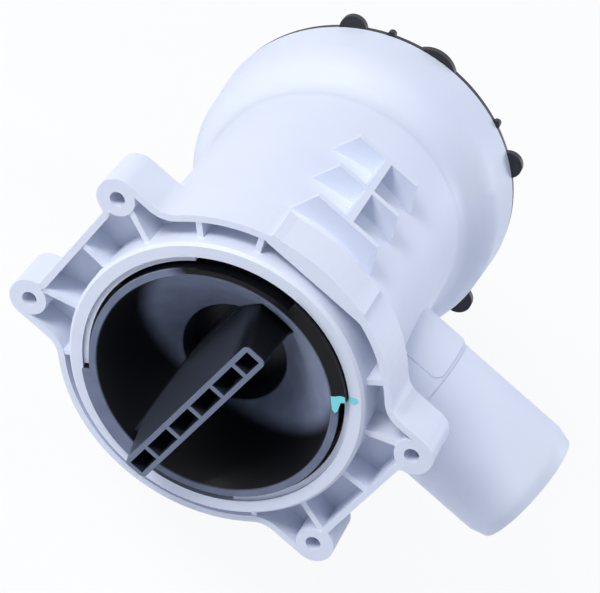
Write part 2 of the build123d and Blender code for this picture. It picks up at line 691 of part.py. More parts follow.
def motor_flange():
    """Black motor front: disc with lobes, spigot with bayonet lugs, rotor can and posts."""
    disc = Circle(disc_r)
    for angle in LOBE_ANGLES:
        disc += Pos(*polar(lobe_centre_r, angle)) * Circle(LOBE_R)
    for angle in NUB_ANGLES:
        disc += Pos(*polar(disc_r + NUB_HEIGHT - NUB_R, angle)) * Circle(NUB_R)
    disc += Pos(*polar(big_lobe_centre_r, BIG_LOBE_ANGLE)) * Circle(BIG_LOBE_R)
    disc += Pos(*polar(latch_centre_r, LATCH_ANGLE)) * Circle(LATCH_R)
    flange = round_slab(disc, RIM_END + SEAT_GAP, disc_end)
    flange += round_slab(Circle(spigot_r), spigot_front, disc_end)
    can_r = CAN_BORE_R + CAN_WALL
    hollow_r = spigot_r - SPIGOT_WALL
    flange -= round_slab(Circle(hollow_r) - Circle(can_r), spigot_front + BACK_WALL, disc_end + OVERRUN)
    for step in range(BAYONETS):
        angle = BAYONET_FIRST_ANGLE + step * 360 / BAYONETS
        flange += sector_ring(
            spigot_lug_r, spigot_r - SEAT_GAP, angle - SPIGOT_LUG_HALF_ANGLE, angle + SPIGOT_LUG_HALF_ANGLE,
            spigot_lug_start, spigot_lug_end)
    can = turned(
        (0, spigot_front), (can_r, spigot_front), (can_r, can_end - CAN_ROUND), (can_r - CAN_ROUND, can_end),
        (0, can_end))
    flange += can
    web_area = Circle(hollow_r + SEAT_GAP) - Circle(can_r - SEAT_GAP)
    for step in range(FLANGE_WEBS):
        web = Rot(0, 0, (step + 1 / 2) * 360 / FLANGE_WEBS) * Pos(hollow_r / 2, 0) * Rectangle(hollow_r, FLANGE_WEB)
        flange += round_slab(web & web_area, spigot_front + BACK_WALL - SEAT_GAP, disc_end)
    for side in (1, -1):
        flange += round_slab(Pos(side * POST_X, POST_Z) * Circle(POST_R), spigot_front, core_start - SEAT_GAP)
    for side in (1, -1):
        bite = round_slab(
            Pos(side * POST_X, POST_Z) * Circle(CORE_SCREW_R + RUNNING_GAP),
            core_start - CORE_SCREW_BITE - FREE_GAP, core_start + OVERRUN)
        flange -= bite
    mount_r = MOUNT_R + RUNNING_GAP
    magnet_room_end = rear_bearing_start - FREE_GAP
    flange -= turned(
        (0, spigot_front - OVERRUN), (CARRIER_FLANGE_R + SEAT_GAP, spigot_front - OVERRUN),
        (CARRIER_FLANGE_R + SEAT_GAP, spigot_front + CARRIER_FLANGE), (CAN_BORE_R, spigot_front + CARRIER_FLANGE),
        (CAN_BORE_R, magnet_room_end), (mount_r, magnet_room_end), (mount_r, rear_bearing_end + SEAT_GAP),
        (0, rear_bearing_end + SEAT_GAP))
    return flange


def flange_seal():
    """Ring seal between the cup's step and the motor flange's spigot."""
    ring = Pos(seal_r, chamber_end + SEAL_SECTION + RUNNING_GAP) * RegularPolygon(SEAL_SECTION, SEAL_SIDES)
    return revolve(ring, Axis.Y)


def bearing_carrier():
    """Plug that closes the can and holds the front bearing and the shaft seal."""
    barrel_r = CAN_BORE_R - SEAT_GAP
    mount_r = MOUNT_R + RUNNING_GAP
    seal_end = shaft_seal_start + SHAFT_SEAL_LENGTH + SEAT_GAP
    seat_r = SHAFT_SEAL_R + RUNNING_GAP
    return turned(
        (seat_r, spigot_front), (CARRIER_FLANGE_R, spigot_front),
        (CARRIER_FLANGE_R, spigot_front + CARRIER_FLANGE - SEAT_GAP),
        (barrel_r, spigot_front + CARRIER_FLANGE - SEAT_GAP), (barrel_r, carrier_end),
        (mount_r, carrier_end), (mount_r, seal_end + FREE_GAP), (SHAFT_R + FREE_GAP, seal_end + FREE_GAP),
        (SHAFT_R + FREE_GAP, seal_end), (seat_r, seal_end))


def bearing(start):
    """Plain sintered bush."""
    return tube_piece(BEARING_R, SHAFT_R + RUNNING_GAP, start, start + BEARING_LENGTH)


def bearing_mount(start):
    """Rubber ring round a bush, with a rounded groove outside."""
    end = start + BEARING_LENGTH
    groove = RUNNING_GAP * 12
    inner = BEARING_R + RUNNING_GAP
    middle = (start + end) / 2
    return turned(
        (inner, start), (MOUNT_R, start), (MOUNT_R, middle - 2 * groove), (MOUNT_R - groove, middle - groove),
        (MOUNT_R - groove, middle + groove), (MOUNT_R, middle + 2 * groove), (MOUNT_R, end), (inner, end))


def shaft_seal():
    """Lip seal that keeps lint off the front bearing."""
    lip_r = SHAFT_R + RUNNING_GAP
    end = shaft_seal_start + SHAFT_SEAL_LENGTH
    return turned(
        (lip_r, shaft_seal_start), (lip_r + SHAFT_SEAL_LIP, shaft_seal_start),
        (lip_r + SHAFT_SEAL_LIP, end - SHAFT_SEAL_LIP), (SHAFT_SEAL_R - SHAFT_SEAL_LIP, end - SHAFT_SEAL_LIP),
        (SHAFT_SEAL_R - SHAFT_SEAL_LIP, shaft_seal_start), (SHAFT_SEAL_R, shaft_seal_start),
        (SHAFT_SEAL_R, end), (lip_r + SHAFT_SEAL_LIP, end), (lip_r, shaft_seal_start + SHAFT_SEAL_LIP))


# Rotor and impeller

def rotor_shaft():
    """Ground shaft with a clip groove at its wet end."""
    groove_r = SHAFT_R - RUNNING_GAP * 6
    return turned(
        (0, shaft_start), (SHAFT_R, shaft_start), (SHAFT_R, clip_start - RUNNING_GAP),
        (groove_r, clip_start - RUNNING_GAP), (groove_r, clip_start + CLIP + RUNNING_GAP),
        (SHAFT_R, clip_start + CLIP + RUNNING_GAP), (SHAFT_R, shaft_end), (0, shaft_end))


def rotor_magnet():
    """Two-pole ferrite rotor."""
    return tube_piece(MAGNET_R, SHAFT_R + RUNNING_GAP / 2, magnet_start, magnet_end)


def thrust_washers():
    """One washer at each end of the magnet."""
    front = tube_piece(WASHER_R, SHAFT_R + RUNNING_GAP / 2, magnet_start - RUNNING_GAP - WASHER,
                       magnet_start - RUNNING_GAP)
    rear = tube_piece(WASHER_R, SHAFT_R + RUNNING_GAP / 2, magnet_end + RUNNING_GAP, magnet_end + RUNNING_GAP + WASHER)
    return Compound(children=[front.solid(), rear.solid()])


def retaining_clip():
    """Split ring in the shaft's groove, in front of the impeller."""
    ring = Circle(CLIP_R) - Circle(SHAFT_R - RUNNING_GAP * 5)
    ring -= Pos(0, -CLIP_R / 2) * Rectangle(SHAFT_R, CLIP_R)
    return round_slab(ring, clip_start, clip_start + CLIP)


def impeller_driver():
    """Bush on the shaft with the dog that pushes the impeller round."""
    driver = tube_piece(DOG_R, SHAFT_R + RUNNING_GAP / 2, dog_start, dog_start + DOG_LENGTH)
    return driver + sector_ring(
        DOG_TIP_R, DOG_R - SEAT_GAP, -DOG_SPAN / 2, DOG_SPAN / 2, dog_start, dog_start + DOG_LENGTH)


def impeller():
    """Open impeller: hub with an inner stop, plate and bowed blades."""
    cavity_r = IMPELLER_HUB_R - IMPELLER_HUB_WALL
    hub = turned(
        (SHAFT_R + RUNNING_GAP, impeller_front), (IMPELLER_HUB_R - IMPELLER_HUB_WALL / 2, impeller_front),
        (IMPELLER_HUB_R, impeller_front + IMPELLER_HUB_WALL / 2), (IMPELLER_HUB_R, impeller_end),
        (cavity_r, impeller_end), (cavity_r, dog_start - FREE_GAP), (SHAFT_R + RUNNING_GAP, dog_start - FREE_GAP))
    stop_angle = DOG_SPAN + DOG_REST_ANGLE
    wheel = hub + sector_ring(
        cavity_r + SEAT_GAP, STOP_R, stop_angle - DOG_SPAN / 2, stop_angle + DOG_SPAN / 2,
        dog_start - FREE_GAP - SEAT_GAP, impeller_end - SEAT_GAP)
    plate = Circle(IMPELLER_R) - Circle(IMPELLER_HUB_R - SEAT_GAP)
    wheel += round_slab(plate, impeller_end - IMPELLER_PLATE, impeller_end)
    band = Circle(BLADE_BOW_R) - Circle(BLADE_BOW_R - BLADE)
    reach = Circle(IMPELLER_R - SEAT_GAP) - Circle(IMPELLER_HUB_R - 2 * SEAT_GAP)
    blade = (Pos(IMPELLER_HUB_R / 2, BLADE_BOW_R - BLADE) * band) & reach
    blade &= Pos(IMPELLER_R / 2, 0) * Rectangle(IMPELLER_R, 2 * IMPELLER_R)
    front_slope = turned(
        (0, impeller_front + IMPELLER_HUB_WALL), (IMPELLER_HUB_R / 2, impeller_front + IMPELLER_HUB_WALL / 2),
        (IMPELLER_R + OVERRUN, impeller_front + BLADE_TIP_DROP), (IMPELLER_R + OVERRUN, impeller_end - SEAT_GAP),
        (0, impeller_end - SEAT_GAP))
    for step in range(BLADES):
        turned_blade = Rot(0, 0, step * 360 / BLADES) * blade
        wheel += round_slab(turned_blade, impeller_front - OVERRUN, impeller_end + OVERRUN) & front_slope
    return wheel


# Stator

def stator_core():
    """Laminated U core whose pole shoes close round the rotor can."""
    outline = make_face(Polyline(
        (-CORE_TOP_HALF_WIDTH, CORE_TOP), (CORE_TOP_HALF_WIDTH, CORE_TOP), (CORE_HALF_WIDTH, CORE_SHOULDER_Z),
        (CORE_HALF_WIDTH, CORE_BOTTOM), (-CORE_HALF_WIDTH, CORE_BOTTOM), (-CORE_HALF_WIDTH, CORE_SHOULDER_Z),
        close=True))
    window_bottom = CORE_BOTTOM + CORE_YOKE
    window_half = CORE_HALF_WIDTH - CORE_LIMB
    outline -= Pos(0, (CORE_WINDOW_TOP + window_bottom) / 2) * Rectangle(
        2 * window_half, CORE_WINDOW_TOP - window_bottom)
    outline -= Circle(CORE_BORE_R)
    outline -= Pos(0, (CORE_TOP + CORE_WINDOW_TOP) / 2) * Rectangle(CORE_GAP, CORE_TOP - CORE_WINDOW_TOP + OVERRUN)
    for side in (1, -1):
        outline -= Pos(side * POST_X, POST_Z) * Circle(CORE_SCREW_R + SEAT_GAP)
        for z in RIVET_Z:
            outline -= Pos(side * RIVET_X, z) * Circle(RIVET_R + RUNNING_GAP / 2)
    return round_slab(outline, core_start, core_end)


def core_rivets():
    """Four rivets through the core."""
    solids = []
    for side in (1, -1):
        for z in RIVET_Z:
            rivet = round_slab(Circle(RIVET_R), core_start - RUNNING_GAP, core_end + RUNNING_GAP)
            rivet += round_slab(Circle(RIVET_HEAD_R), core_start - RUNNING_GAP - RIVET_HEAD, core_start - RUNNING_GAP)
            rivet += round_slab(Circle(RIVET_HEAD_R), core_end + RUNNING_GAP, core_end + RUNNING_GAP + RIVET_HEAD)
            solids.append((Pos(side * RIVET_X, 0, z) * rivet).solid())
    return Compound(children=solids)


def core_screws():
    """Two screws that hold the core on the motor flange's posts."""
    solids = []
    seat = core_end + RUNNING_GAP
    for side in (1, -1):
        screw = round_slab(Circle(CORE_SCREW_R), core_start - CORE_SCREW_BITE, seat)
        screw += round_slab(Circle(CORE_SCREW_HEAD_R), seat, seat + CORE_SCREW_HEAD)
        socket = RegularPolygon(CORE_SCREW_SOCKET_R, 6)
        screw -= round_slab(socket, seat + CORE_SCREW_HEAD - CORE_SCREW_SOCKET, seat + CORE_SCREW_HEAD + OVERRUN)
        solids.append((Pos(side * POST_X, 0, POST_Z) * screw).solid())
    return Compound(children=solids)


def limb_box(half_width, half_depth, bottom, top):
    """A box about one limb's centre line, along Z."""
    box = Box(2 * half_width, 2 * half_depth, top - bottom)
    return Pos(0, core_mid, (top + bottom) / 2) * box


def bobbin():
    """Coil former round a limb at X zero, moved to its limb when it is written."""
    inner_x = CORE_LIMB / 2 + SEAT_GAP
    inner_y = CORE_LENGTH / 2 + SEAT_GAP
    spool = limb_box(inner_x + BOBBIN_WALL, inner_y + BOBBIN_WALL, COIL_BOTTOM, COIL_TOP)
    for edge in (COIL_BOTTOM, COIL_TOP - BOBBIN_FLANGE):
        spool += limb_box(coil_half_width, coil_half_depth, edge, edge + BOBBIN_FLANGE)
    return spool - limb_box(inner_x, inner_y, COIL_BOTTOM - OVERRUN, COIL_TOP + OVERRUN)


def winding():
    """Wound wire between the former's flanges."""
    gap = RUNNING_GAP
    bottom = COIL_BOTTOM + BOBBIN_FLANGE + gap
    top = COIL_TOP - BOBBIN_FLANGE - gap
    inner_x = CORE_LIMB / 2 + SEAT_GAP + BOBBIN_WALL + gap
    inner_y = CORE_LENGTH / 2 + SEAT_GAP + BOBBIN_WALL + gap
    bundle = limb_box(coil_half_width - gap, coil_half_depth - gap, bottom, top)
    bundle = fillet(bundle.edges().filter_by(Axis.Z), WINDING / 2)
    return bundle - limb_box(inner_x, inner_y, bottom - OVERRUN, top + OVERRUN)


def coil_cover():
    """Black cover over both coils, open below to the yoke, with the terminal shroud."""
    outer = limb_box(cover_half_width, cover_half_depth, cover_bottom, cover_top)
    outer = fillet(outer.edges().filter_by(Axis.Z), COVER_ROUND)
    inner = limb_box(
        cover_half_width - COVER_WALL, cover_half_depth - COVER_WALL, cover_bottom + COVER_WALL,
        cover_top - COVER_WALL)
    cover = outer - inner
    back = core_mid + cover_half_depth
    shroud_width = 2 * TERMINAL_X + TERMINAL_WIDTH + 4 * TERMINAL_SHROUD
    shroud_height = TERMINAL_WIDTH + 2 * TERMINAL_SHROUD
    shroud = Pos(0, TERMINAL_Z) * Rectangle(shroud_width, shroud_height)
    shroud -= Pos(0, TERMINAL_Z) * Rectangle(shroud_width - 2 * TERMINAL_SHROUD, shroud_height - 2 * TERMINAL_SHROUD)
    cover += round_slab(shroud, back - SEAT_GAP, back + TERMINAL_SHROUD_DEPTH)
    for side in (1, -1):
        slot = Pos(side * TERMINAL_X, TERMINAL_Z) * Rectangle(
            TERMINAL_WIDTH + 2 * RUNNING_GAP, TERMINAL + 2 * RUNNING_GAP)
        cover -= round_slab(slot, back - TERMINAL_ROOT, back + OVERRUN)
        limb = Pos(side * limb_x, 0) * limb_box(
            CORE_LIMB / 2 + SEAT_GAP, CORE_LENGTH / 2 + SEAT_GAP, cover_bottom - OVERRUN, cover_top + OVERRUN)
        cover -= limb
    return cover


def terminal_blades():
    """Two flat blades in the cover's shroud."""
    back = core_mid + cover_half_depth
    solids = []
    for side in (1, -1):
        blade = Pos(side * TERMINAL_X, TERMINAL_Z) * Rectangle(TERMINAL_WIDTH, TERMINAL)
        solid = round_slab(blade, back - COVER_WALL, back + TERMINAL_LENGTH)
        hole = Cylinder(TERMINAL_HOLE_R, TERMINAL + OVERRUN)
        hole_place = back + TERMINAL_LENGTH * 2 / 3
        solids.append((solid - Pos(side * TERMINAL_X, hole_place, TERMINAL_Z) * hole).solid())
    return Compound(children=solids)


def main():
    """Builds every node and writes it."""
    os.makedirs("parts", exist_ok=True)
    write("pump_housing", pump_housing())
    write("filter_cap", filter_cap())
    write("cap_seal", cap_seal())
    write("strainer_basket", strainer_basket())
    write("motor_flange", motor_flange())
    write("flange_seal", flange_seal())
    write("bearing_carrier", bearing_carrier())
    write("front_bearing", bearing(front_bearing_start))
    write("rear_bearing", bearing(rear_bearing_start))
    write("front_bearing_mount", bearing_mount(front_bearing_start))
    write("rear_bearing_mount", bearing_mount(rear_bearing_start))
    write("shaft_seal", shaft_seal())
    write("rotor_shaft", rotor_shaft())
    write("rotor_magnet", rotor_magnet())
    write("thrust_washers", thrust_washers())
    write("retaining_clip", retaining_clip())
    write("impeller_driver", impeller_driver())
    write("impeller", impeller())
    write("stator_core", stator_core())
    write("core_rivets", core_rivets())
    write("core_screws", core_screws())
    for name, side in (("left", -1), ("right", 1)):
        write(name + "_bobbin", Pos(side * limb_x, 0, 0) * bobbin())
        write(name + "_winding", Pos(side * limb_x, 0, 0) * winding())
    write("coil_cover", coil_cover())
    write("terminal_blades", terminal_blades())


main()
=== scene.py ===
"""Washer drain pump, dressed for a studio picture. Lengths are metres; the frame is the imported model's."""

import math

import bmesh
import bpy
from mathutils import Matrix, Vector


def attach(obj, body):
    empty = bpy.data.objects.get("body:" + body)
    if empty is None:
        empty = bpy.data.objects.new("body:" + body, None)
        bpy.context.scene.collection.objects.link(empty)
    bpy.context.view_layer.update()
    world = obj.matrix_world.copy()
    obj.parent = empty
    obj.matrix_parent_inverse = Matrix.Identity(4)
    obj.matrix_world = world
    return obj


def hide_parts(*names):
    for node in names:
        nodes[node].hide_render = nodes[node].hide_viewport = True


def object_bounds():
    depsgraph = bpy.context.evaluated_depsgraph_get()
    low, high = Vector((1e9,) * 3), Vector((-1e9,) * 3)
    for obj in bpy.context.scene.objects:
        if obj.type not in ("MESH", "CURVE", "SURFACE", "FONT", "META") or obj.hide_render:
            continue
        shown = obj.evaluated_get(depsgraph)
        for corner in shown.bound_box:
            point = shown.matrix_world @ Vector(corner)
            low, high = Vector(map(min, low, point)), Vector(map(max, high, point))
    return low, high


bl_info = {
    "name": "Washer Drain Pump",
    "version": (1, 0, 0),
    "blender": (4, 5, 0),
    "location": "View3D > Sidebar > Drain Pump",
    "description": "Finishes and small pieces of a washer drain pump, with its studio",
    "category": "Object",
}

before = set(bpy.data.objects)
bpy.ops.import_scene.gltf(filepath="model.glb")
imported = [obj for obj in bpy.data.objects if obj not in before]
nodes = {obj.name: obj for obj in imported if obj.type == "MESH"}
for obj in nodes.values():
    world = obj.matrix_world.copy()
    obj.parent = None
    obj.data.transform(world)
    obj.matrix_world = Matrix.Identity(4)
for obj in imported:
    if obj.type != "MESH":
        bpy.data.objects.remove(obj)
model_low, model_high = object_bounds()

MM = 0.001

# Mouldings: corners this close are one corner, edges that turn by more than this are rounded, in this many steps
WELD_REACH = 0.002 * MM
SHARP_TURN = math.radians(35)
EDGE_STEPS = 2

# Plastics: how they bend light, how far their gloss varies either way, and how high their grain stands
PLASTIC_IOR = 1.49
GLOSS_SPREAD = 0.06
GRAIN_RISE = 0.2 * MM

# The painted highlight on the cap's upper dish, where it would catch the light: its middle, its reach and its soft
# edge
HIGHLIGHT_CENTRE = (-1 * MM, 0.0, 14 * MM)
HIGHLIGHT_REACH = 25 * MM
HIGHLIGHT_EDGE = 5 * MM

# Where the painted highlight starts and ends: the measure that each mask runs along, from and to in millimetres, and
# both shares
HIGHLIGHT_MASKS = (
    ("dish", "radius", 31.4, 31.8, 1.0, 0.0),
    ("rim", "radius", 31.4, 31.8, 0.0, 1.0),
    ("brink", "radius", 31.9, 32.2, 0.8, 0.0),
    ("lower", "Z", 22.0, 18.0, 0.0, 1.0),
    ("face", "Y", -3.6, -4.2, 0.0, 1.0),
    ("pocket", "Y", 11.5, 12.5, 1.0, 0.15),
    ("front", "Y", -15.2, -15.6, 0.0, 0.9),
    ("flank", "Z", 18.0, 23.0, 0.12, 0.0),
)

# How the masks make up the painted highlight, in order: the result, the sum and its two terms. The rim has it below
# and on its inner brink, the pocket has little of it, and the grip has it on its front edges and thinly on its lower
# flanks.
HIGHLIGHT_SUMS = (
    ("spread", "MAXIMUM", "lower", "brink"),
    ("rim", "MULTIPLY", "rim", "spread"),
    ("rim", "MULTIPLY", "rim", "face"),
    ("painted_highlight", "MULTIPLY", "highlight_on_dish", "dish"),
    ("painted_highlight", "MAXIMUM", "painted_highlight", "rim"),
    ("painted_highlight", "MULTIPLY", "painted_highlight", "uneven"),
    ("painted_highlight", "MULTIPLY", "painted_highlight", "pocket"),
    ("painted_highlight", "MULTIPLY", "painted_highlight", "off grip"),
    ("highlight_on_grip", "MAXIMUM", "front", "flank"),
    ("highlight_on_grip", "MULTIPLY", "highlight_on_grip", "on grip"),
    ("painted_highlight", "MAXIMUM", "painted_highlight", "highlight_on_grip"),
)

# The grip's two long sides and two ends, each as a direction and how far along it the plastic lies
GRIP_SIDES = (
    ((-1.0, -0.161, 0.021), 5.5 * MM),
    ((1.0, -0.049, -0.021), 4.9 * MM),
    ((0.021, 0.0, 1.0), 26.6 * MM),
    ((-0.021, 0.0, -1.0), 29.1 * MM),
)
GRIP_SKIN = 0.4 * MM

# Patches of the paint mark: name, body, slot, place of the face along Y, and corners as radius and degrees
PAINT_PATCHES = (
    ("paint_on_cap", "cap", "cap_plastic", -4.55, (
        (31.9, 44.3), (31.9, 41.0), (32.1, 37.4), (32.8, 35.8), (33.5, 36.9), (34.0, 39.6), (34.4, 41.5),
        (35.7, 41.7), (35.7, 44.4), (34.5, 44.9), (33.2, 44.4))),
    ("paint_on_ramp", "housing", "housing_plastic", -2.1, (
        (34.7, 39.8), (36.05, 39.6), (36.05, 41.1), (34.7, 41.1))),
    ("paint_on_ring", "housing", "housing_plastic", -3.0, (
        (36.2, 39.8), (37.5, 39.9), (38.3, 40.5), (38.6, 41.4), (38.3, 42.5), (37.3, 43.1), (36.2, 43.2))),
)
PAINT_DEPTH = 0.06 * MM

# Lamps, each with its name, which is also its setting's, its place, its side and its tone
LAMPS = (
    ("key", (-0.78, -0.50, 0.68), 0.4, "#ffffff"),
    ("fill", (0.764, 0.764, 0.393), 0.4, "#eef3ff"),
    ("top", (-0.05, -0.05, 1.15), 0.7, "#f2f6ff"),
)

# The camera's place, its turn in degrees, and its lens and sensor in millimetres
CAMERA_PLACE = (-0.05368, -0.47173, 0.38056)
CAMERA_TURN = (44.2251, -34.9261, 23.9237)
CAMERA_LENS = 144.0
CAMERA_SENSOR = 36.0

# The floor's gap to the pump, and how much of it is plain white where it is seen; the rest keeps the shadow
FLOOR_GAP = 0.5 * MM
FLOOR_WHITE = 0.9


def linear(colour):
    """The linear values, with full opacity, of an sRGB hex colour."""
    shares = [int(colour[i:i + 2], 16) / 255 for i in (1, 3, 5)]
    return tuple(c / 12.92 if c <= 0.04045 else ((c + 0.055) / 1.055) ** 2.4 for c in shares) + (1.0,)


def colour_property(name, description, colour):
    """A colour that the panel shows, with its default as an sRGB hex colour."""
    return bpy.props.FloatVectorProperty(
        name=name, description=description, subtype="COLOR", size=4, min=0.0, max=1.0, default=linear(colour))


def length_property(name, description, millimetres):
    """A length that the panel shows, with its default in millimetres."""
    return bpy.props.FloatProperty(
        name=name, description=description, subtype="DISTANCE", unit="LENGTH", min=0.0,
        default=millimetres * MM)


class PumpFinishes(bpy.types.PropertyGroup):
    """Colours and edge sizes of the pump's mouldings."""
    housing: colour_property("Housing", "White polypropylene of the pump housing", "#e9edf8")
    cap: colour_property("Cap", "Black polypropylene of the filter cap", "#090b0f")
    # Colour of the painted highlight on the cap: paler where the dish, rim and grip would catch the light
    painted_highlight: colour_property("Painted highlight on the cap", "Painted highlight and sheen on the black cap", "#747d94")
    motor: colour_property("Motor front", "Black polyamide of the motor flange and coil cover", "#15171c")
    basket: colour_property("Basket", "Grey polypropylene of the strainer basket", "#b9c0cc")
    mark: colour_property("Paint mark", "Turquoise marker paint across cap and ring", "#7fe3e6")
    edge: length_property("Moulded edge", "Radius of the rounded edges of the housing", 0.35)
    cap_edge: length_property("Cap edge", "Radius of the rounded edges of cap, basket and motor mouldings", 0.3)


class PumpStage(bpy.types.PropertyGroup):
    """Sizes and brightness of the studio."""
    floor: length_property("Floor", "Half the side of the floor", 4000.0)
    key: bpy.props.FloatProperty(name="Key lamp", description="Power of the key lamp", subtype="POWER", default=8.7)
    fill: bpy.props.FloatProperty(name="Fill lamp", description="Power of the fill lamp", subtype="POWER", default=4.2)
    top: bpy.props.FloatProperty(name="Top lamp", description="Power of the top lamp", subtype="POWER", default=2.6)
    sky: bpy.props.FloatProperty(name="Room", description="Brightness of the room", min=0.0, default=0.3)


def add_node(tree, kind, inputs=None, **settings):
    """Adds one node with its settings, its input values and its links."""
    node = tree.nodes.new(kind)
    for key, value in settings.items():
        setattr(node, key, value)
    for key, value in (inputs or {}).items():
        if isinstance(value, bpy.types.NodeSocket):
            tree.links.new(value, node.inputs[key])
        else:
            node.inputs[key].default_value = value
    return node


def new_material(name):
    """A new material and its empty tree."""
    material = bpy.data.materials.new(name)
    material.use_nodes = True
    material.node_tree.nodes.clear()
    return material, material.node_tree


def add_surface(tree, height, strength, rise, values):
    """Closes a material: a relief from a height, then the shader with its values, then the output."""
    relief = add_node(tree, "ShaderNodeBump", {"Height": height, "Strength": strength, "Distance": rise})
    shader = add_node(tree, "ShaderNodeBsdfPrincipled", {"Normal": relief.outputs["Normal"], **values})
    add_node(tree, "ShaderNodeOutputMaterial", {"Surface": shader.outputs["BSDF"]})


def moulded(name, colour, tint, patch, grain, roughness, bump=0.05, specular=0.5):
    """Moulded plastic: faint flow patches in colour and gloss, and the grain of a spark-eroded mould.

    The real grain is 0.1 mm or finer, and is drawn at 0.3 to 0.6 mm so that it shows.
    """
    material, tree = new_material(name)
    place = add_node(tree, "ShaderNodeTexCoord").outputs["Object"]
    patches = add_node(tree, "ShaderNodeTexNoise", {"Vector": place, "Scale": 1 / patch, "Detail": 3.0})
    grains = add_node(tree, "ShaderNodeTexNoise", {"Vector": place, "Scale": 1 / grain, "Detail": 2.0})
    mix = add_node(tree, "ShaderNodeMix", {
        "Factor": patches.outputs["Fac"], 6: tuple(colour), 7: tuple(tint)}, data_type="RGBA")
    dull = add_node(tree, "ShaderNodeMapRange", {
        "Value": patches.outputs["Fac"], "To Min": roughness - GLOSS_SPREAD, "To Max": roughness + GLOSS_SPREAD})
    add_surface(tree, grains.outputs["Fac"], bump, GRAIN_RISE, {
        "Base Color": mix.outputs[2], "Roughness": dull.outputs["Result"], "IOR": PLASTIC_IOR,
        "Specular IOR Level": specular})
    return material


def painted_highlight_share(tree, place):
    """How much painted highlight lies at each place of the cap, from 0 to 1."""
    axes = add_node(tree, "ShaderNodeSeparateXYZ", {"Vector": place})
    flat = add_node(tree, "ShaderNodeVectorMath", {0: place, 1: (1.0, 0.0, 1.0)}, operation="MULTIPLY")
    radius = add_node(tree, "ShaderNodeVectorMath", {0: flat.outputs["Vector"]}, operation="LENGTH")
    measures = {"radius": radius.outputs["Value"], "Y": axes.outputs["Y"], "Z": axes.outputs["Z"]}
    masks = {}
    for name, measure, start, end, low, high in HIGHLIGHT_MASKS:
        masks[name] = add_node(tree, "ShaderNodeMapRange", {
            "Value": measures[measure], "From Min": start * MM, "From Max": end * MM,
            "To Min": low, "To Max": high}).outputs["Result"]

    reach = add_node(tree, "ShaderNodeVectorMath", {
        0: flat.outputs["Vector"], 1: HIGHLIGHT_CENTRE}, operation="DISTANCE")
    masks["highlight_on_dish"] = add_node(tree, "ShaderNodeMapRange", {
        "Value": reach.outputs["Value"], "From Min": HIGHLIGHT_REACH, "From Max": HIGHLIGHT_REACH + HIGHLIGHT_EDGE,
        "To Min": 1.0, "To Max": 0.0}, interpolation_type="SMOOTHSTEP").outputs["Result"]

    # Clouds about 6 mm wide make the painted highlight uneven
    clouds = add_node(tree, "ShaderNodeTexNoise", {"Vector": place, "Scale": 1 / (6 * MM), "Detail": 5.0})
    masks["uneven"] = add_node(tree, "ShaderNodeMapRange", {
        "Value": clouds.outputs["Fac"], "From Min": 0.3, "From Max": 0.7,
        "To Min": 0.75, "To Max": 1.0}).outputs["Result"]

    clear = 0.0
    for direction, reach_out in GRIP_SIDES:
        along = add_node(tree, "ShaderNodeVectorMath", {0: place, 1: direction}, operation="DOT_PRODUCT")
        beyond = add_node(tree, "ShaderNodeMapRange", {
            "Value": along.outputs["Value"], "From Min": reach_out, "From Max": reach_out + GRIP_SKIN})
        clear = add_node(tree, "ShaderNodeMath", {0: clear, 1: beyond.outputs["Result"]}, operation="MAXIMUM")
        clear = clear.outputs[0]
    masks["off grip"] = clear
    masks["on grip"] = add_node(tree, "ShaderNodeMath", {0: clear, 1: 0.5}, operation="LESS_THAN").outputs[0]

    for result, operation, first, second in HIGHLIGHT_SUMS:
        masks[result] = add_node(tree, "ShaderNodeMath", {
            0: masks[first], 1: masks[second]}, operation=operation).outputs[0]
    return masks["painted_highlight"]


def black_with_painted_highlight(name, colour, painted_highlight):
    """Black moulding with a dull, paler painted highlight and sheen on the upper dish, on the rim and thinly on the
    grip.
    """
    material, tree = new_material(name)
    place = add_node(tree, "ShaderNodeTexCoord").outputs["Object"]
    share = painted_highlight_share(tree, place)
    # The painted highlight: a paler colour, a rougher skin and a sheen where the mask lies
    mix = add_node(tree, "ShaderNodeMix", {"Factor": share, 6: tuple(colour), 7: tuple(painted_highlight)}, data_type="RGBA")
    dull = add_node(tree, "ShaderNodeMapRange", {"Value": share, "To Min": 0.3, "To Max": 0.5})
    grains = add_node(tree, "ShaderNodeTexNoise", {"Vector": place, "Scale": 1 / (0.4 * MM), "Detail": 2.0})
    add_surface(tree, grains.outputs["Fac"], 0.05, GRAIN_RISE, {
        "Base Color": mix.outputs[2], "Roughness": dull.outputs["Result"], "IOR": PLASTIC_IOR,
        "Specular IOR Level": 0.2, "Sheen Weight": share, "Sheen Roughness": 0.5, "Sheen Tint": linear("#aab4c8")})
    return material


def metal(name, colour, tint, roughness, grain):
    """Worked metal: fine grains in colour, gloss and height.

    The real grains are about 0.1 mm or finer, and are drawn at 0.2 to 0.8 mm so that they show.
    """
    material, tree = new_material(name)
    place = add_node(tree, "ShaderNodeTexCoord").outputs["Object"]
    grains = add_node(tree, "ShaderNodeTexNoise", {"Vector": place, "Scale": 1 / grain, "Detail": 4.0})
    mix = add_node(tree, "ShaderNodeMix", {
        "Factor": grains.outputs["Fac"], 6: linear(colour), 7: linear(tint)}, data_type="RGBA")
    dull = add_node(tree, "ShaderNodeMapRange", {
        "Value": grains.outputs["Fac"], "To Min": roughness * 0.8, "To Max": roughness * 1.2})
    add_surface(tree, grains.outputs["Fac"], 0.1, 0.1 * MM, {
        "Base Color": mix.outputs[2], "Roughness": dull.outputs["Result"], "Metallic": 1.0})
    return material


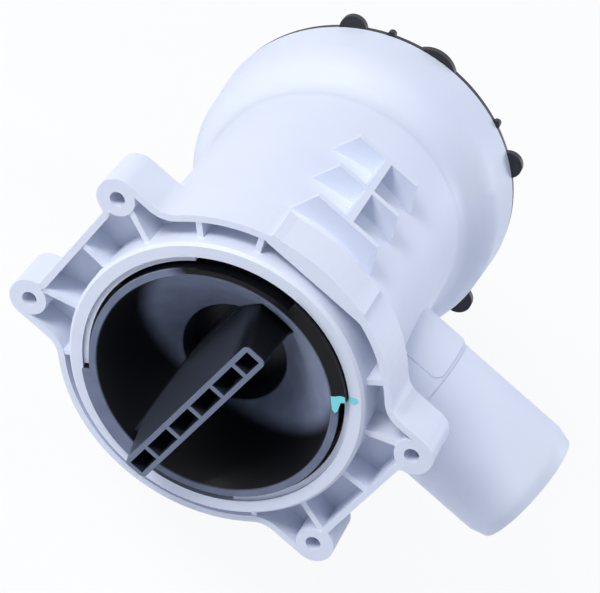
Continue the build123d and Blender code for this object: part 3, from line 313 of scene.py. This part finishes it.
def layered(name, dark, light, pitch, direction, waviness, bump, rise, values):
    """Metal in layers one pitch apart: bands of two colours along one axis, a little wavy, that also stand up."""
    material, tree = new_material(name)
    place = add_node(tree, "ShaderNodeTexCoord").outputs["Object"]
    # At a scale of 1 a wave texture runs through 20 radians in a metre
    layers = add_node(tree, "ShaderNodeTexWave", {
        "Vector": place, "Scale": 2 * math.pi / (20 * pitch), "Distortion": waviness}, bands_direction=direction)
    mix = add_node(tree, "ShaderNodeMix", {
        "Factor": layers.outputs["Fac"], 6: linear(dark), 7: linear(light)}, data_type="RGBA")
    add_surface(tree, layers.outputs["Fac"], bump, rise, {"Base Color": mix.outputs[2], **values})
    return material


def seen_directly(tree):
    """1 for rays from the camera, off a glossy surface or through a clear one, else 0."""
    path = add_node(tree, "ShaderNodeLightPath")
    shiny = add_node(tree, "ShaderNodeMath", {
        0: path.outputs["Is Glossy Ray"], 1: path.outputs["Is Transmission Ray"]}, operation="MAXIMUM")
    return add_node(tree, "ShaderNodeMath", {
        0: path.outputs["Is Camera Ray"], 1: shiny.outputs[0]}, operation="MAXIMUM").outputs[0]


def add_object(form, name, material):
    """Turns a bmesh into an object of one material."""
    mesh = bpy.data.meshes.new(name)
    form.to_mesh(mesh)
    form.free()
    mesh.materials.append(material)
    piece = bpy.data.objects.new(name, mesh)
    bpy.context.collection.objects.link(piece)
    return piece


def dressed(node, body, material, edge):
    """A welded copy of a CAD node with rounded edges and even flat faces, shown in the node's place."""
    form = bmesh.new()
    form.from_mesh(nodes[node].data)
    bmesh.ops.remove_doubles(form, verts=form.verts, dist=WELD_REACH)
    piece = add_object(form, node + "_finish", material)
    piece.data.shade_smooth()
    piece.data.set_sharp_from_angle(angle=SHARP_TURN)
    rounded = piece.modifiers.new("rounded edges", "BEVEL")
    rounded.width = edge
    rounded.segments = EDGE_STEPS
    rounded.limit_method = "ANGLE"
    rounded.angle_limit = SHARP_TURN
    rounded.harden_normals = True
    rounded.use_clamp_overlap = True
    flat = piece.modifiers.new("flat faces", "WEIGHTED_NORMAL")
    flat.keep_sharp = True
    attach(piece, body)
    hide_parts(node)


def finish_node(node, material):
    """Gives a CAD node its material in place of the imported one."""
    mesh = nodes[node].data
    mesh.materials.clear()
    mesh.materials.append(material)


def paint_patch(name, outline, place, material, body):
    """A thin patch of paint on a face that looks forward; its outline is radii in millimetres and degrees."""
    form = bmesh.new()
    corners = []
    for radius, angle in outline:
        turn = math.radians(angle)
        corners.append(form.verts.new((radius * MM * math.cos(turn), place, radius * MM * math.sin(turn))))
    face = form.faces.new(corners)
    raised = bmesh.ops.extrude_face_region(form, geom=[face])
    lifted = [item for item in raised["geom"] if isinstance(item, bmesh.types.BMVert)]
    bmesh.ops.translate(form, verts=lifted, vec=(0, -PAINT_DEPTH, 0))
    bmesh.ops.recalc_face_normals(form, faces=form.faces)
    piece = add_object(form, name, material)
    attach(piece, body)


class PUMP_OT_stage(bpy.types.Operator):
    """Builds the floor, the room, the lamps and the camera"""
    bl_idname = "pump.stage"
    bl_label = "Studio"

    def execute(self, context):
        stage = context.scene.pump_stage
        self.floor(stage)
        self.room(context, stage)
        for name, place, side, tone in LAMPS:
            data = bpy.data.lights.new(name, "AREA")
            data.energy, data.size, data.color = getattr(stage, name), side, linear(tone)[:3]
            lamp = bpy.data.objects.new(name, data)
            lamp.location = place
            lamp.rotation_euler = Vector(place).to_track_quat("Z", "Y").to_euler()
            context.collection.objects.link(lamp)
        data = bpy.data.cameras.new("camera")
        data.lens, data.sensor_width = CAMERA_LENS, CAMERA_SENSOR
        camera = bpy.data.objects.new("camera", data)
        camera.location = CAMERA_PLACE
        camera.rotation_euler = [math.radians(turn) for turn in CAMERA_TURN]
        context.collection.objects.link(camera)
        context.scene.camera = camera
        context.scene.view_settings.view_transform = "Standard"
        return {"FINISHED"}

    def floor(self, stage):
        """A white floor just under the pump that keeps its shadow."""
        # Floor paint, rolled: white and quite matt, so that nothing but the pump's shadow shows on it.
        material, tree = new_material("white floor paint")
        paint = add_node(tree, "ShaderNodeBsdfDiffuse", {"Color": linear("#fbfcff")})
        plain = add_node(tree, "ShaderNodeEmission", {"Color": linear("#ffffff"), "Strength": 1.0})
        share = add_node(tree, "ShaderNodeMath", {0: seen_directly(tree), 1: FLOOR_WHITE}, operation="MULTIPLY")
        mix = add_node(tree, "ShaderNodeMixShader", {
            "Fac": share.outputs[0], 1: paint.outputs["BSDF"], 2: plain.outputs["Emission"]})
        add_node(tree, "ShaderNodeOutputMaterial", {"Surface": mix.outputs["Shader"]})
        form = bmesh.new()
        bmesh.ops.create_grid(
            form, x_segments=1, y_segments=1, size=stage.floor,
            matrix=Matrix.Translation((0, 0, model_low.z - FLOOR_GAP)))
        floor = add_object(form, "floor", material)

    def room(self, context, stage):
        """A pale room over the floor, white where it is seen."""
        world = bpy.data.worlds.new("studio")
        context.scene.world = world
        world.use_nodes = True
        tree = world.node_tree
        tree.nodes.clear()
        light = add_node(tree, "ShaderNodeBackground", {"Color": linear("#dfe8ff"), "Strength": stage.sky})
        white = add_node(tree, "ShaderNodeBackground", {"Color": linear("#fdfdff"), "Strength": 1.0})
        mix = add_node(tree, "ShaderNodeMixShader", {
            "Fac": seen_directly(tree), 1: light.outputs["Background"], 2: white.outputs["Background"]})
        add_node(tree, "ShaderNodeOutputWorld", {"Surface": mix.outputs["Shader"]})


class PUMP_OT_housing(bpy.types.Operator):
    """Finishes the white pump housing"""
    bl_idname = "pump.housing"
    bl_label = "Housing"

    def execute(self, context):
        finishes = context.scene.pump_finishes
        # White polypropylene from the mould: satin, with faint bluish flow patches.
        plastic = moulded("white polypropylene", finishes.housing, linear("#dfe6f6"), 30 * MM, 0.5 * MM, 0.5)
        dressed("pump_housing", "housing", plastic, finishes.edge)
        return {"FINISHED"}


class PUMP_OT_bearings(bpy.types.Operator):
    """Finishes the seals, the bearings and the bearing carrier"""
    bl_idname = "pump.bearings"
    bl_label = "Seals and bearings"

    def execute(self, context):
        # Nitrile rubber, pressed: dead black and matt.
        rubber = moulded("nitrile rubber", linear("#121212"), linear("#1c1c1d"), 6 * MM, 0.4 * MM, 0.7, specular=0.3)
        for node in ("cap_seal", "flange_seal", "shaft_seal", "front_bearing_mount", "rear_bearing_mount"):
            finish_node(node, rubber)
        # Bronze powder, sintered: brown gold, dulled by its pores.
        bronze = metal("sintered bronze", "#8f6a3c", "#a88250", 0.55, 0.2 * MM)
        for node in ("front_bearing", "rear_bearing"):
            finish_node(node, bronze)
        # Polyamide from the mould: a flat dark grey with a satin skin.
        finish_node("bearing_carrier", moulded(
            "grey polyamide", linear("#3b3d42"), linear("#45484e"), 8 * MM, 0.5 * MM, 0.5))
        return {"FINISHED"}


class PUMP_OT_cap(bpy.types.Operator):
    """Finishes the filter cap and the strainer basket and adds the paint mark"""
    bl_idname = "pump.cap"
    bl_label = "Filter"

    def execute(self, context):
        finishes = context.scene.pump_finishes
        # Black polypropylene from the mould: smooth and half glossy, greyed on one side by a painted highlight and
        # sheen.
        black = black_with_painted_highlight("black polypropylene", finishes.cap, finishes.painted_highlight)
        dressed("filter_cap", "cap", black, finishes.cap_edge)
        # Grey polypropylene from the mould: pale, and a little shinier than the housing along the cage's bars.
        grey = moulded("grey polypropylene", finishes.basket, linear("#a7afbd"), 20 * MM, 0.5 * MM, 0.45)
        dressed("strainer_basket", "filter_insert", grey, finishes.cap_edge)
        # Marker paint: turquoise, half matt and a little uneven, brushed across cap and ring in one stroke.
        paint = moulded("turquoise marker paint", finishes.mark, linear("#86e6e9"), 1.5 * MM, 0.3 * MM, 0.4, bump=0.2)
        for name, body, slot, place, outline in PAINT_PATCHES:
            paint_patch(name, outline, place * MM, paint, body)
        return {"FINISHED"}


class PUMP_OT_motor(bpy.types.Operator):
    """Finishes the motor's flange, cover, core, coils, blades and fixings"""
    bl_idname = "pump.motor"
    bl_label = "Motor"

    def execute(self, context):
        finishes = context.scene.pump_finishes
        # Glass-filled polyamide from the mould: black, and duller than the cap from the fibres in its skin.
        polyamide = moulded("black polyamide", finishes.motor, linear("#20232a"), 12 * MM, 0.6 * MM, 0.5)
        for node in ("motor_flange", "coil_cover"):
            dressed(node, "housing", polyamide, finishes.cap_edge)
        # Electrical steel, punched and stacked: fine bright and dark lines, one to each sheet of 0.65 mm.
        finish_node("stator_core", layered(
            "electrical steel sheets", "#4c4f54", "#8b8f95", 0.65 * MM, "Y", 0.4, 0.3, 0.2 * MM,
            {"Roughness": 0.45, "Metallic": 1.0}))
        # Steel, plated with zinc: pale grey with a broken shine.
        zinc = metal("zinc-plated steel", "#9ea3a8", "#c3c7cb", 0.35, 0.8 * MM)
        for node in ("core_rivets", "core_screws", "retaining_clip"):
            finish_node(node, zinc)
        # Undyed polyamide from the mould: the warm white of bone, with a waxy skin.
        bobbin = moulded("natural polyamide", linear("#d9d6c8"), linear("#cdc9b8"), 10 * MM, 0.5 * MM, 0.5)
        # Copper wire, enamelled and wound: red-brown turns that shine. It is 0.3 mm thick, drawn at 0.6 mm to show.
        wire = layered(
            "enamelled copper wire", "#5c2412", "#b8612f", 0.6 * MM, "Z", 0.6, 0.6, 0.3 * MM,
            {"Roughness": 0.35, "Metallic": 0.7})
        for side in ("left", "right"):
            finish_node(side + "_bobbin", bobbin)
            finish_node(side + "_winding", wire)
        # Brass, stamped and tinned: pale gold and bright.
        finish_node("terminal_blades", metal("tinned brass", "#c9bf9a", "#e0d8b8", 0.25, 0.6 * MM))
        return {"FINISHED"}


class PUMP_OT_rotor(bpy.types.Operator):
    """Finishes the rotor, its washers and the impeller"""
    bl_idname = "pump.rotor"
    bl_label = "Rotor and impeller"

    def execute(self, context):
        # Stainless steel, ground: bright silver, almost a mirror.
        finish_node("rotor_shaft", metal("ground stainless steel", "#b9bcc0", "#d0d3d6", 0.2, 0.5 * MM))
        # Ferrite, pressed and fired: charcoal, with the dull glint of a stone.
        finish_node("rotor_magnet", metal("pressed ferrite", "#2c2d30", "#3a3b3f", 0.6, 0.3 * MM))
        # Acetal from the mould: ivory and slick.
        finish_node("thrust_washers", moulded(
            "acetal", linear("#e4e0d0"), linear("#d8d3c0"), 5 * MM, 0.4 * MM, 0.4))
        # Glass-filled polypropylene from the mould: black, faintly mottled by its fibres.
        wheel = moulded(
            "black polypropylene, glass filled", linear("#191b1f"), linear("#24272d"), 8 * MM, 0.5 * MM, 0.45)
        for node in ("impeller", "impeller_driver"):
            finish_node(node, wheel)
        return {"FINISHED"}


class PUMP_PT_panel(bpy.types.Panel):
    """Lists the pump's operators, finishes and studio"""
    bl_idname = "PUMP_PT_panel"
    bl_label = "Drain Pump"
    bl_space_type = "VIEW_3D"
    bl_region_type = "UI"
    bl_category = "Drain Pump"

    def draw(self, context):
        for operator in OPERATORS:
            self.layout.operator(operator.bl_idname)
        for group in (context.scene.pump_finishes, context.scene.pump_stage):
            for key in group.__annotations__:
                self.layout.prop(group, key)


GROUPS = (PumpFinishes, PumpStage)
OPERATORS = (PUMP_OT_stage, PUMP_OT_housing, PUMP_OT_bearings, PUMP_OT_cap, PUMP_OT_motor, PUMP_OT_rotor)


def register():
    """Registers the classes and the scene's settings."""
    for cls in GROUPS + OPERATORS + (PUMP_PT_panel,):
        bpy.utils.register_class(cls)
    bpy.types.Scene.pump_finishes = bpy.props.PointerProperty(type=PumpFinishes)
    bpy.types.Scene.pump_stage = bpy.props.PointerProperty(type=PumpStage)


def unregister():
    """Takes the classes and settings away again."""
    del bpy.types.Scene.pump_stage
    del bpy.types.Scene.pump_finishes
    for cls in reversed(GROUPS + OPERATORS + (PUMP_PT_panel,)):
        bpy.utils.unregister_class(cls)


def main():
    """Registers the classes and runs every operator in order."""
    register()
    for operator in OPERATORS:
        group, name = operator.bl_idname.split(".")
        getattr(getattr(bpy.ops, group), name)()


if __name__ == "__main__":
    main()
